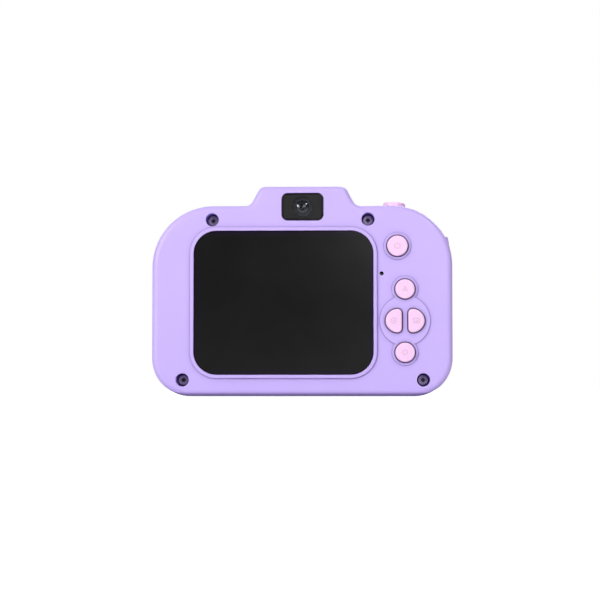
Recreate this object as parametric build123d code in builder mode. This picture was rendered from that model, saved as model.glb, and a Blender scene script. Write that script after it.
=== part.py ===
"""Children's digital camera: two clipped and screwed case shells around a screen, a keypad, two
camera modules, a main board, a battery, a speaker and a memory card.

Frame, in millimetres: +Z up, origin on the flat underside.  The screen side is the back and faces
-Y, the lens faces +Y, and +X is to the right for someone who looks at the screen.
"""
from build123d import *
import os

os.makedirs("parts", exist_ok=True)

# ---- case ------------------------------------------------------------------------------------
HALF_WIDTH = 50.0
SHOULDER_Z = 63.4
HUMP_TOP_Z = 69.87
HUMP_X = 0.35
HUMP_FOOT_HALF = 17.6
HUMP_HEAD_HALF = 14.1
LOWER_CORNER_R = 12.6
UPPER_LEFT_R = 20.5
UPPER_RIGHT_R = 19.8
HUMP_FOOT_R = 3.0
HUMP_HEAD_R = 2.6
RIM_R = 2.0
WALL = 2.0
FACE_WALL = 2.2
BACK_Y = -12.5
FRONT_Y = 12.5
PARTING_Y = -2.0
BACK_INNER_Y = BACK_Y + FACE_WALL
FRONT_INNER_Y = FRONT_Y - FACE_WALL
TONGUE = 1.2
TONGUE_PLAY = 0.05

# ---- screen and small window -------------------------------------------------------------------
SCREEN_X = -6.14
SCREEN_Z = 31.02
SCREEN_W = 59.9
SCREEN_H = 48.0
SCREEN_R = 7.7
LIP_W = 1.2
LIP_PROUD = 0.6
POCKET_DEPTH = 1.3
WINDOW_T = 1.2
WINDOW_PLAY = 0.05
VIEW_W = 54.0
VIEW_H = 42.0
SELFIE_X = 0.2
SELFIE_Z = 62.98
SELFIE_W = 14.1
SELFIE_H = 9.3
SELFIE_R = 2.1
SELFIE_T = 0.8
SELFIE_BARREL_R = 3.25
SELFIE_BORE_R = 1.25
SELFIE_GLASS_R = 2.25
FLASH_SIZE = (8.9, 5.7, 1.3)
FLASH_HOLE = (5.2, 3.4, 0.6)

# ---- buttons on the back -----------------------------------------------------------------------
POWER = (31.73, 49.8)
POWER_R = 3.43
PAD = (34.2, 24.95)
PAD_STEP = 10.5
PAD_DISC_R = 8.4
ARROW_R = 3.25
BUTTON_GAP = 0.33
COLLAR_W = 0.75
COLLAR_PROUD = 0.45
CAP_PROUD = 1.5
CAP_FLANGE = 0.55
CAP_EDGE_R = 0.5
SIDE_FLAT = 1.06
SIDE_HALF = 3.95
SIDE_SHOULDER = 3.96
SIDE_NOSE = 8.3
SIDE_RADII = [1.4, 1.4, 3.8, 3.75, 3.8]
SIDE_SWITCH = 3.9
MIC = (26.5, 40.7)
MIC_HOLE_R = 0.68

# ---- shutter, on top ---------------------------------------------------------------------------
SHUTTER_X = 31.07
SHUTTER_Y = 4.6
SHUTTER_R = 3.75
SHUTTER_HOLE_R = 4.0
SHUTTER_BOSS_R = 5.0
SHUTTER_BOSS_Z = 60.0
SHUTTER_TOP_Z = 65.9

# ---- lens, on the front ------------------------------------------------------------------------
LENS_Z = 31.0
TUBE_R = 22.4
TUBE_BORE_R = 19.0
TUBE_Y = 21.0
LENS_FRONT_Y = 22.5
RING_R = 21.6
COVER_R = 16.95

# ---- boards and fasteners ----------------------------------------------------------------------
BOARD_BACK_Y = -6.4
BOARD_FRONT_Y = -5.4
SWITCH = 4.5
SWITCH_H = 1.6
PLUNGER_R = 0.9
CASE_SCREWS = [(-29.9, 58.7), (22.0, 58.8), (-39.8, 5.37), (40.26, 5.37)]
SCREW_RECESS_R = 2.22
SCREW_SEAT_Y = -6.0
BOARD_SCREWS = [(-41.0, 45.5), (-41.2, 12.6), (42.8, 40.5), (42.5, 13.2)]
USB_Z = 37.5
USB_Y = -8.05
CARD_Z = 22.5
CARD_Y = -4.5
STRAP_Z = (44.9, 53.9)
STRAP_X = 49.8
STRAP_BAR_Y = 1.3
STRAP_HALF_Y = 4.4

LENS_SECTION = Plane(origin=(0, 0, LENS_Z), x_dir=(0, 1, 0), z_dir=(1, 0, 0))
LENS_AXIS = Axis((0, 0, LENS_Z), (0, 1, 0))


def at_depth(y):
    """Sketch plane at depth y: sketch x is +X, sketch y is +Z, and extrusion runs to the back."""
    return Plane.XZ.offset(-y)


def case_outline(y, inset=0.0):
    """Outline of the whole case at depth y, drawn inset inside the outer skin."""
    with BuildSketch(at_depth(y)) as sketch:
        with BuildLine():
            FilletPolyline(
                (-HALF_WIDTH, 0),
                (HALF_WIDTH, 0),
                (HALF_WIDTH, SHOULDER_Z),
                (HUMP_X + HUMP_FOOT_HALF, SHOULDER_Z),
                (HUMP_X + HUMP_HEAD_HALF, HUMP_TOP_Z),
                (HUMP_X - HUMP_HEAD_HALF, HUMP_TOP_Z),
                (HUMP_X - HUMP_FOOT_HALF, SHOULDER_Z),
                (-HALF_WIDTH, SHOULDER_Z),
                radius=[
                    LOWER_CORNER_R,
                    LOWER_CORNER_R,
                    UPPER_RIGHT_R,
                    HUMP_FOOT_R,
                    HUMP_HEAD_R,
                    HUMP_HEAD_R,
                    HUMP_FOOT_R,
                    UPPER_LEFT_R,
                ],
                close=True,
            )
        make_face()
        if inset:
            offset(amount=-inset)
    return sketch.sketch


def panel(y, centre, width, height, radius, grow=0.0):
    """Rounded rectangle at depth y, grown on every side."""
    with BuildSketch(at_depth(y)) as sketch:
        with Locations(centre):
            RectangleRounded(width + 2 * grow, height + 2 * grow, radius + grow)
    return sketch.sketch


def discs(y, centres, radius):
    """Equal discs at depth y."""
    with BuildSketch(at_depth(y)) as sketch:
        with Locations(*centres):
            Circle(radius)
    return sketch.sketch


def side_key(y, side, grow=0.0):
    """Outline of the left (side -1) or right (side +1) key: flat towards the middle of the pad,
    with a rounded nose away from it."""
    middle_x, middle_z = PAD
    flat = middle_x + side * SIDE_FLAT
    shoulder = middle_x + side * SIDE_SHOULDER
    nose = middle_x + side * SIDE_NOSE
    with BuildSketch(at_depth(y)) as sketch:
        with BuildLine():
            FilletPolyline(
                (flat, middle_z - SIDE_HALF),
                (flat, middle_z + SIDE_HALF),
                (shoulder, middle_z + SIDE_HALF),
                (nose, middle_z),
                (shoulder, middle_z - SIDE_HALF),
                radius=SIDE_RADII,
                close=True,
            )
        make_face()
        if grow:
            offset(amount=grow)
    return sketch.sketch


def slab(profile, thickness):
    """Extrudes a profile towards the back."""
    extrude(profile, amount=thickness)


def cut(profile, depth):
    """Cuts a profile towards the back."""
    extrude(profile, amount=depth, mode=Mode.SUBTRACT)


def block(low, high, mode=Mode.ADD):
    """Box between two corners."""
    size = [b - a for a, b in zip(low, high)]
    middle = [(a + b) / 2 for a, b in zip(low, high)]
    with Locations(tuple(middle)):
        Box(*size, mode=mode)


def keep(part, name):
    """Labels a finished piece and writes its STEP file."""
    part.part.label = name
    export_step(part.part, f"parts/{name}.step")


ARROWS = [(PAD[0], PAD[1] + PAD_STEP), (PAD[0], PAD[1] - PAD_STEP)]
SIDE_KEYS = [(PAD[0] - SIDE_SWITCH, PAD[1]), (PAD[0] + SIDE_SWITCH, PAD[1])]
SWITCH_CENTRES = [POWER, *ARROWS, *SIDE_KEYS]
SHELL_DEPTH = PARTING_Y - BACK_Y
SCREEN = (SCREEN_X, SCREEN_Z)
SELFIE = (SELFIE_X, SELFIE_Z)

# ================================ case =======================================================
with BuildPart() as rear_shell:
    slab(case_outline(PARTING_Y), SHELL_DEPTH)
    fillet(rear_shell.edges().group_by(Axis.Y)[0], RIM_R)
    cut(case_outline(PARTING_Y, WALL), SHELL_DEPTH - FACE_WALL)
    # tongue that locates the front shell
    slab(case_outline(PARTING_Y + TONGUE, WALL / 2), TONGUE)
    cut(case_outline(PARTING_Y + TONGUE, WALL), TONGUE)
    # raised lip around the screen, and the raised key plate
    slab(panel(BACK_Y, SCREEN, SCREEN_W, SCREEN_H, SCREEN_R, LIP_W), LIP_PROUD)
    fillet(rear_shell.edges().group_by(Axis.Y)[0], 0.35)
    with BuildSketch(at_depth(BACK_Y)) as key_plate:
        with Locations(PAD):
            Circle(PAD_DISC_R)
        with Locations(*ARROWS):
            Circle(ARROW_R + BUTTON_GAP + COLLAR_W)
        with Locations(POWER):
            Circle(POWER_R + BUTTON_GAP + COLLAR_W)
    slab(key_plate.sketch, COLLAR_PROUD)
    plate_face = rear_shell.faces().filter_by(Plane.XZ).sort_by(SortBy.AREA)
    plate_faces = [f for f in plate_face if abs(f.center().Y - (BACK_Y - COLLAR_PROUD)) < 0.01]
    fillet([e for f in plate_faces for e in f.edges()], 0.25)
    # pillars that meet the front shell's screw posts, and board posts
    slab(discs(PARTING_Y, CASE_SCREWS, SCREW_RECESS_R + 1.4), PARTING_Y - BACK_INNER_Y)
    slab(discs(BOARD_BACK_Y, BOARD_SCREWS, 2.0), BOARD_BACK_Y - BACK_INNER_Y)
    cut(discs(BOARD_BACK_Y, BOARD_SCREWS, 0.9), 3.4)
    cut(discs(SCREW_SEAT_Y, CASE_SCREWS, SCREW_RECESS_R), SCREW_SEAT_Y - BACK_Y + 1)
    cut(discs(PARTING_Y, CASE_SCREWS, 1.2), PARTING_Y - SCREW_SEAT_Y)
    # openings for the screen, the small camera, the keys and the microphone
    cut(panel(BACK_Y + POCKET_DEPTH, SCREEN, SCREEN_W, SCREEN_H, SCREEN_R), POCKET_DEPTH + 1)
    cut(panel(BACK_INNER_Y, SCREEN, VIEW_W, VIEW_H, 5.0), FACE_WALL)
    cut(panel(BACK_Y + 0.9, SELFIE, SELFIE_W, SELFIE_H, SELFIE_R), 1.0)
    cut(discs(BACK_INNER_Y, [SELFIE], SELFIE_BARREL_R + 0.4), FACE_WALL)
    cut(discs(BACK_INNER_Y, [POWER], POWER_R + BUTTON_GAP), FACE_WALL + 1)
    cut(discs(BACK_INNER_Y, ARROWS, ARROW_R + BUTTON_GAP), FACE_WALL + 1)
    for side in (-1, 1):
        cut(side_key(BACK_INNER_Y, side, BUTTON_GAP), FACE_WALL + 1)
    cut(discs(BACK_INNER_Y, [MIC], MIC_HOLE_R), FACE_WALL + 1)
    # ports in the left wall, and the strap loop's window
    with BuildSketch(Plane.YZ.offset(-HALF_WIDTH - 1)) as usb_opening:
        with Locations((USB_Y, USB_Z)):
            SlotOverall(9.4, 3.6, rotation=90)
    extrude(usb_opening.sketch, amount=WALL + 2, mode=Mode.SUBTRACT)
    block((-51, CARD_Y - 0.6, CARD_Z - 6.0), (-47, CARD_Y + 0.6, CARD_Z + 6.0), Mode.SUBTRACT)
    block((40, -STRAP_HALF_Y - 0.1, STRAP_Z[0] - 0.1), (52, 0, STRAP_Z[1] + 0.2), Mode.SUBTRACT)
keep(rear_shell, "rear_shell")

FRONT_DEPTH = FRONT_Y - PARTING_Y
SPEAKER = (33.0, 15.0)
SPEAKER_R = 8.0

with BuildPart() as front_shell:
    slab(case_outline(FRONT_Y), FRONT_DEPTH)
    fillet(front_shell.edges().group_by(Axis.Y)[-1], RIM_R)
    # lens tube
    with BuildSketch(LENS_SECTION):
        with BuildLine():
            Polyline(
                (FRONT_Y - 1, TUBE_BORE_R - 1),
                (FRONT_Y - 1, TUBE_R + 0.6),
                (FRONT_Y, TUBE_R + 0.6),
                (FRONT_Y + 1.0, TUBE_R - 0.1),
                (TUBE_Y, RING_R),
                (TUBE_Y, TUBE_BORE_R - 1),
                close=True,
            )
        make_face()
    revolve(axis=LENS_AXIS)
    cut(case_outline(FRONT_INNER_Y, WALL), FRONT_DEPTH - FACE_WALL)
    # guide boss and hole of the shutter
    with BuildSketch(Plane.XY.offset(SHUTTER_BOSS_Z)):
        with Locations((SHUTTER_X, SHUTTER_Y)):
            Circle(SHUTTER_BOSS_R)
    extrude(amount=SHOULDER_Z - WALL - SHUTTER_BOSS_Z + 0.5)
    with BuildSketch(Plane.XY.offset(SHUTTER_BOSS_Z - 1)):
        with Locations((SHUTTER_X, SHUTTER_Y)):
            Circle(SHUTTER_HOLE_R)
    extrude(amount=8, mode=Mode.SUBTRACT)
    # screw posts, the rebate for the rear shell's tongue, and the shelf of the shutter's board
    slab(discs(FRONT_INNER_Y + 0.5, CASE_SCREWS, 3.0), FRONT_INNER_Y + 0.5 - PARTING_Y)
    with BuildSketch(at_depth(PARTING_Y + TONGUE + 0.1)) as rebate:
        add(case_outline(PARTING_Y + TONGUE + 0.1, WALL / 2 - TONGUE_PLAY))
        add(case_outline(PARTING_Y + TONGUE + 0.1, WALL + TONGUE_PLAY), mode=Mode.SUBTRACT)
    cut(rebate.sketch, TONGUE + 0.1)
    cut(discs(7.0, CASE_SCREWS, 0.95), 7.0 - PARTING_Y)
    block((SHUTTER_X - 6.5, 0.5, 53.3), (SHUTTER_X + 6.5, FRONT_INNER_Y + 0.5, 54.5))
    # holes of the lens, the flash and the speaker
    cut(discs(TUBE_Y + 1, [(0, LENS_Z)], TUBE_BORE_R), TUBE_Y + 1 - FRONT_INNER_Y + 2)
    cut(panel(FRONT_Y + 1, SELFIE, *FLASH_SIZE), 1.9)
    cut(panel(FRONT_Y, SELFIE, *FLASH_HOLE), FACE_WALL + 1)
    cut(discs(FRONT_Y + 1, [SPEAKER], 0.7), FACE_WALL + 2)
    for ring_r, count in ((2.4, 6), (4.8, 12)):
        with BuildSketch(at_depth(FRONT_Y + 1)) as holes:
            with Locations(SPEAKER):
                with PolarLocations(ring_r, count):
                    Circle(0.7)
        cut(holes.sketch, FACE_WALL + 2)
    block((40, -3, STRAP_Z[0] - 0.1), (52, STRAP_HALF_Y + 0.1, STRAP_Z[1] + 0.2), Mode.SUBTRACT)
keep(front_shell, "front_shell")

with BuildPart() as strap_loop:
    # pocket block flush with the corner, with a flange behind the wall
    slab(case_outline(STRAP_HALF_Y), 2 * STRAP_HALF_Y)
    block((41.5, -6, STRAP_Z[0]), (52, 6, STRAP_Z[1]), Mode.INTERSECT)
    with BuildSketch(at_depth(5.0)) as flange:
        add(case_outline(5.0, WALL + 0.15))
        with Locations((42.0, 49.4)):
            Rectangle(4.0, 11.6, mode=Mode.INTERSECT)
    slab(flange.sketch, 10.0)
    # pocket, and the bar across it, which stands out a little at the corner
    block((44.0, -3.4, STRAP_Z[0] + 1.2), (52, 3.4, STRAP_Z[1] - 1.4), Mode.SUBTRACT)
    with BuildSketch(at_depth(STRAP_BAR_Y)) as bar:
        with BuildLine():
            FilletPolyline(
                (46.0, STRAP_Z[1] - 0.2),
                (48.95, STRAP_Z[1] - 0.2),
                (49.65, 50.4),
                (STRAP_X, 47.6),
                (STRAP_X, STRAP_Z[0] + 0.6),
                (47.3, STRAP_Z[0] + 0.6),
                (47.3, STRAP_Z[1] - 2.4),
                radius=0.4,
                close=True,
            )
        make_face()
    slab(bar.sketch, 2 * STRAP_BAR_Y)
keep(strap_loop, "strap_loop")

with BuildPart() as case_screws:
    head_y = SCREW_SEAT_Y - 1.3
    slab(discs(SCREW_SEAT_Y, CASE_SCREWS, 1.9), 1.3)
    fillet(case_screws.edges().group_by(Axis.Y)[0], 0.4)
    slab(discs(6.0, CASE_SCREWS, 0.9), 6.0 - SCREW_SEAT_Y)
    for turn in (0, 90):
        with BuildSketch(at_depth(head_y + 0.8)) as slot:
            with Locations(*CASE_SCREWS):
                Rectangle(1.5, 0.45, rotation=turn)
        cut(slot.sketch, 1.0)
    cut(discs(head_y + 0.9, CASE_SCREWS, 0.65), 1.2)
keep(case_screws, "case_screws")

# ================================ screen =====================================================
with BuildPart() as screen_window:
    slab(
        panel(BACK_Y + POCKET_DEPTH - 0.02, SCREEN, SCREEN_W, SCREEN_H, SCREEN_R, -WINDOW_PLAY),
        WINDOW_T,
    )
    fillet(screen_window.edges().group_by(Axis.Y)[0], 0.25)
keep(screen_window, "screen_window")

LCD_BACK_Y = BACK_INNER_Y + 0.1
with BuildPart() as lcd_panel:
    slab(panel(LCD_BACK_Y + 2.2, SCREEN, 60.2, 42.8, 0.8), 2.2)
keep(lcd_panel, "lcd_panel")

with BuildPart() as lcd_bracket:
    bracket_y = BOARD_BACK_Y - 0.05
    slab(panel(bracket_y, SCREEN, 58.0, 40.0, 1.0), bracket_y - LCD_BACK_Y - 2.25)
    for centre in ((SCREEN_X - 14, SCREEN_Z), (SCREEN_X + 14, SCREEN_Z)):
        cut(panel(bracket_y, centre, 24.0, 34.0, 2.0), 3.0)
keep(lcd_bracket, "lcd_bracket")

with BuildPart() as lcd_flex:
    with BuildSketch(Plane.XY.offset(16.0)):
        with BuildLine():
            FilletPolyline(
                (-36.3, -8.4),
                (-38.6, -8.4),
                (-39.4, -6.55),
                (-42.4, -6.55),
                radius=[0.8, 0.8],
            )
        trace(line_width=0.2)
    extrude(amount=14.0)
keep(lcd_flex, "lcd_flex")

# ================================ small camera in the hump ===================================
with BuildPart() as selfie_window:
    slab(panel(BACK_Y + 0.88, SELFIE, SELFIE_W, SELFIE_H, SELFIE_R, -WINDOW_PLAY), SELFIE_T)
    fillet(selfie_window.edges().group_by(Axis.Y)[0], 0.2)
keep(selfie_window, "selfie_window")

SELFIE_SECTION = Plane(origin=(SELFIE_X, 0, SELFIE_Z), x_dir=(0, 1, 0), z_dir=(1, 0, 0))
SELFIE_AXIS = Axis((SELFIE_X, 0, SELFIE_Z), (0, 1, 0))
with BuildPart() as selfie_lens_barrel:
    with BuildSketch(SELFIE_SECTION):
        with BuildLine():
            Polyline(
                (-11.5, SELFIE_GLASS_R + 0.1),
                (-11.5, SELFIE_BARREL_R),
                (-9.0, SELFIE_BARREL_R),
                (-9.0, SELFIE_BORE_R),
                (-10.9, SELFIE_BORE_R),
                (-10.9, SELFIE_GLASS_R + 0.1),
                close=True,
            )
        make_face()
    revolve(axis=SELFIE_AXIS)
keep(selfie_lens_barrel, "selfie_lens_barrel")

with BuildPart() as selfie_lens_glass:
    with BuildSketch(SELFIE_SECTION):
        with BuildLine():
            Polyline((-11.55, 0), (-10.95, 0), (-10.95, SELFIE_GLASS_R), (-11.0, SELFIE_GLASS_R))
            TangentArc((-11.55, 0), (-11.0, SELFIE_GLASS_R), tangent=(0, 1))
        make_face()
    revolve(axis=SELFIE_AXIS)
keep(selfie_lens_glass, "selfie_lens_glass")

with BuildPart() as selfie_holder:
    slab(panel(-6.25, SELFIE, 8.4, 8.4, 0.5), 2.7)
    cut(discs(-6.25, [SELFIE], SELFIE_BORE_R), 4.0)
keep(selfie_holder, "selfie_holder")

with BuildPart() as selfie_board:
    slab(panel(-5.45, SELFIE, 10.0, 8.6, 0.4), 0.75)
keep(selfie_board, "selfie_board")

with BuildPart() as selfie_flex:
    block((-2.5, -5.36, 49.0), (2.5, -5.2, 65.0))
keep(selfie_flex, "selfie_flex")

# ================================ main camera ================================================
def turned(name, outline):
    """Ring or disc turned about the lens axis from its (depth, radius) outline."""
    with BuildPart() as piece:
        with BuildSketch(LENS_SECTION):
            with BuildLine():
                Polyline(*outline, close=True)
            make_face()
        revolve(axis=LENS_AXIS)
    keep(piece, name)


turned(
    "lens_ring",
    [
        (17.0, 16.0),
        (20.9, 16.0),
        (20.9, 17.0),
        (22.1, 17.0),
        (LENS_FRONT_Y, 17.4),
        (LENS_FRONT_Y, 20.8),
        (22.2, 21.35),
        (21.7, RING_R),
        (TUBE_Y + 0.05, RING_R),
        (TUBE_Y + 0.05, TUBE_BORE_R - 0.1),
        (17.0, TUBE_BORE_R - 0.1),
    ],
)
turned(
    "lens_cover", [(20.92, 0), (20.92, COVER_R), (21.8, COVER_R), (22.0, COVER_R - 0.2), (22.0, 0)]
)
turned(
    "lens_baffle",
    [
        (20.8, 15.9),
        (20.8, 14.6),
        (18.6, 14.6),
        (18.6, 12.2),
        (16.4, 12.2),
        (16.4, 9.8),
        (14.2, 9.8),
        (14.2, 6.95),
        (13.0, 6.95),
        (13.0, 10.8),
        (15.2, 10.8),
        (15.2, 13.2),
        (17.4, 13.2),
        (17.4, 15.9),
    ],
)
turned(
    "main_lens_barrel",
    [(9.0, 3.0), (9.0, 6.9), (16.5, 6.9), (16.5, 5.8), (15.4, 4.7), (13.0, 4.7), (13.0, 3.0)],
)

with BuildPart() as main_lens_glass:
    with BuildSketch(LENS_SECTION):
        with BuildLine():
            Polyline((15.3, 0), (13.05, 0), (13.05, 4.6), (13.8, 4.6))
            TangentArc((15.3, 0), (13.8, 4.6), tangent=(0, 1))
        make_face()
    revolve(axis=LENS_AXIS)
keep(main_lens_glass, "main_lens_glass")

LENS_CENTRE = (0, LENS_Z)
with BuildPart() as main_sensor_holder:
    slab(panel(8.95, LENS_CENTRE, 18.0, 18.0, 1.0), 5.9)
    cut(discs(8.95, [LENS_CENTRE], 3.0), 6.0)
keep(main_sensor_holder, "main_sensor_holder")

with BuildPart() as main_sensor_board:
    slab(panel(3.0, LENS_CENTRE, 22.0, 22.0, 1.0), 1.0)
keep(main_sensor_board, "main_sensor_board")

with BuildPart() as main_camera_flex:
    with BuildSketch(Plane.YZ.offset(-4.0)):
        with BuildLine():
            FilletPolyline(
                (1.88, 26.0), (1.88, 17.0), (-5.2, 16.0), (-5.2, 11.5), radius=[2.0, 2.0]
            )
        trace(line_width=0.2)
    extrude(amount=8.0)
keep(main_camera_flex, "main_camera_flex")

# ================================ flash ======================================================
with BuildPart() as flash_window:
    slab(panel(FRONT_Y - 0.08, SELFIE, *FLASH_SIZE, -WINDOW_PLAY), SELFIE_T)
    fillet(flash_window.edges().group_by(Axis.Y)[-1], 0.2)
keep(flash_window, "flash_window")

with BuildPart() as flash_led:
    slab(panel(11.2, SELFIE, 3.5, 2.8, 0.3), 1.7)
keep(flash_led, "flash_led")

with BuildPart() as flash_board:
    slab(panel(9.45, SELFIE, 8.0, 5.0, 0.3), 0.8)
keep(flash_board, "flash_board")

# ================================ boards =====================================================
with BuildPart() as main_board:
    with BuildSketch(at_depth(BOARD_FRONT_Y)) as board_shape:
        with Locations((0.25, 32.0)):
            RectangleRounded(91.5, 44.0, 7.0)
        with Locations(*BOARD_SCREWS):
            Circle(1.1, mode=Mode.SUBTRACT)
    slab(board_shape.sketch, BOARD_FRONT_Y - BOARD_BACK_Y)
keep(main_board, "main_board")

with BuildPart() as board_screws:
    slab(discs(BOARD_FRONT_Y + 1.2, BOARD_SCREWS, 1.8), 1.15)
    fillet(board_screws.edges().group_by(Axis.Y)[-1], 0.4)
    slab(discs(BOARD_FRONT_Y + 0.5, BOARD_SCREWS, 0.85), 4.2)
keep(board_screws, "board_screws")

CHIP_Y = BOARD_FRONT_Y + 0.05
with BuildPart() as main_processor:
    slab(panel(CHIP_Y + 1.2, (8.0, 36.0), 12.0, 12.0, 0.3), 1.2)
keep(main_processor, "main_processor")

with BuildPart() as board_chips:
    slab(panel(CHIP_Y + 0.9, (-9.0, 38.0), 8.0, 6.0, 0.2), 0.9)
    slab(panel(CHIP_Y + 0.8, (-22.0, 41.0), 4.0, 4.0, 0.2), 0.8)
    slab(panel(CHIP_Y + 0.8, (27.0, 27.0), 5.0, 4.0, 0.2), 0.8)
keep(board_chips, "board_chips")

with BuildPart() as board_parts:
    # battery socket, flex sockets, coil and the rows of small capacitors
    slab(panel(CHIP_Y + 3.2, (-36.0, 48.5), 5.0, 4.0, 0.3), 3.2)
    slab(panel(CHIP_Y + 1.6, (-22.0, 34.5), 4.0, 4.0, 0.8), 1.6)
    for column in range(6):
        slab(panel(CHIP_Y + 0.7, (-1.0 + 3.4 * column, 26.5), 1.6, 0.9, 0.1), 0.7)
        slab(panel(CHIP_Y + 0.7, (-1.0 + 3.4 * column, 45.5), 1.6, 0.9, 0.1), 0.7)
keep(board_parts, "board_parts")

with BuildPart() as keypad_switches:
    with BuildSketch(at_depth(BOARD_BACK_Y - 0.02)) as bodies:
        with Locations(*SWITCH_CENTRES):
            RectangleRounded(SWITCH, SWITCH, 0.3)
    slab(bodies.sketch, SWITCH_H)
    cut(discs(BOARD_BACK_Y - 0.8, SWITCH_CENTRES, PLUNGER_R + 0.1), 2.0)
keep(keypad_switches, "keypad_switches")

# ================================ keys and their plungers ====================================
CAP_TOP_Y = BACK_Y - CAP_PROUD
FLANGE_Y = BACK_INNER_Y + 0.1
FLANGE_T = 0.8
STEM_T = 0.5
PLUNGER_L = 1.2


def key(name, face, flange, centre):
    """Cap with a flange inside the case and a short stem over its switch."""
    with BuildPart() as cap:
        slab(face(FLANGE_Y), FLANGE_Y - CAP_TOP_Y)
        fillet(cap.edges().group_by(Axis.Y)[0], CAP_EDGE_R)
        slab(flange(FLANGE_Y + FLANGE_T), FLANGE_T)
        slab(discs(FLANGE_Y + FLANGE_T + STEM_T, [centre], 1.2), STEM_T)
    keep(cap, name)
    with BuildPart() as plunger:
        slab(discs(FLANGE_Y + FLANGE_T + STEM_T + PLUNGER_L, [centre], PLUNGER_R), PLUNGER_L)
    keep(plunger, name.replace("button", "plunger"))


def round_key(name, centre, radius):
    """Key with a round cap."""
    key(
        name,
        lambda y: discs(y, [centre], radius),
        lambda y: discs(y, [centre], radius + BUTTON_GAP + CAP_FLANGE),
        centre,
    )


round_key("power_button", POWER, POWER_R)
round_key("up_button", ARROWS[0], ARROW_R)
round_key("down_button", ARROWS[1], ARROW_R)
for key_name, side, key_centre in (
    ("left_button", -1, SIDE_KEYS[0]),
    ("right_button", 1, SIDE_KEYS[1]),
):
    key(
        key_name,
        lambda y: side_key(y, side),
        lambda y: side_key(y, side, BUTTON_GAP + CAP_FLANGE),
        key_centre,
    )

# ================================ shutter ====================================================
SHUTTER_FLANGE_Z = SHUTTER_BOSS_Z - 0.1


def upright(z, radius, height, mode=Mode.ADD):
    """Upright cylinder on the shutter's axis."""
    with BuildSketch(Plane.XY.offset(z)) as circle:
        with Locations((SHUTTER_X, SHUTTER_Y)):
            Circle(radius)
    extrude(circle.sketch, amount=height, mode=mode)


with BuildPart() as shutter_button:
    upright(SHUTTER_FLANGE_Z, SHUTTER_R, SHUTTER_TOP_Z - SHUTTER_FLANGE_Z)
    fillet(shutter_button.edges().group_by(Axis.Z)[-1], 0.6)
    upright(SHUTTER_FLANGE_Z - 0.8, SHUTTER_R + 0.7, 0.8)
    upright(SHUTTER_FLANGE_Z - 1.4, 1.3, 0.6)
keep(shutter_button, "shutter_button")

SHUTTER_BOARD_Z = 55.5
with BuildPart() as shutter_plunger:
    upright(SHUTTER_FLANGE_Z - 3.3, PLUNGER_R, 1.9)
keep(shutter_plunger, "shutter_plunger")

with BuildPart() as shutter_switch:
    block(
        (SHUTTER_X - 2.25, SHUTTER_Y - 2.25, SHUTTER_BOARD_Z + 0.02),
        (SHUTTER_X + 2.25, SHUTTER_Y + 2.25, SHUTTER_BOARD_Z + 1.62),
    )
    upright(SHUTTER_BOARD_Z + 0.6, PLUNGER_R + 0.1, 2.0, Mode.SUBTRACT)
keep(shutter_switch, "shutter_switch")

with BuildPart() as shutter_board:
    block(
        (SHUTTER_X - 6.0, 0.6, SHUTTER_BOARD_Z - 0.95), (SHUTTER_X + 6.0, 8.0, SHUTTER_BOARD_Z)
    )
keep(shutter_board, "shutter_board")

# ================================ microphone and speaker =====================================
with BuildPart() as microphone:
    slab(panel(BOARD_BACK_Y - 0.02, MIC, 3.8, 3.0, 0.3), 1.1)
keep(microphone, "microphone")

with BuildPart() as mic_boot:
    slab(discs(-7.6, [MIC], 1.4), -7.6 - BACK_INNER_Y - 0.05)
    cut(discs(-7.6, [MIC], 0.35), 4.0)
keep(mic_boot, "mic_boot")

with BuildPart() as speaker_frame:
    slab(discs(FRONT_INNER_Y - 0.1, [SPEAKER], SPEAKER_R), 2.4)
    cut(discs(FRONT_INNER_Y - 0.1, [SPEAKER], SPEAKER_R - 0.7), 1.9)
keep(speaker_frame, "speaker_frame")

with BuildPart() as speaker_cone:
    slab(discs(FRONT_INNER_Y - 0.5, [SPEAKER], SPEAKER_R - 0.8), 0.5)
    slab(discs(FRONT_INNER_Y - 0.3, [SPEAKER], 3.2), 0.4)
keep(speaker_cone, "speaker_cone")

with BuildPart() as speaker_magnet:
    slab(discs(FRONT_INNER_Y - 2.55, [SPEAKER], 5.0), 1.8)
keep(speaker_magnet, "speaker_magnet")

# ================================ battery ====================================================
with BuildPart() as battery:
    slab(panel(10.0, (-28.0, 32.0), 29.0, 38.0, 1.5), 6.0)
    fillet(battery.edges().filter_by(GeomType.LINE, reverse=True).group_by(Axis.Y)[0], 1.0)
keep(battery, "battery")

with BuildPart() as battery_tape:
    slab(panel(FRONT_INNER_Y - 0.02, (-31.0, 32.0), 19.0, 30.0, 0.5), 0.24)
keep(battery_tape, "battery_tape")


def leads(name, routes, diameter):
    """Insulated wires: each route is its points and the radii of its bends."""
    with BuildPart() as wires:
        for points, radii in routes:
            with BuildLine() as path:
                FilletPolyline(*points, radius=radii)
            with BuildSketch(Plane(origin=path.line @ 0, z_dir=path.line % 0)):
                Circle(diameter / 2)
            sweep(path=path.line)
    keep(wires, name)


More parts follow.
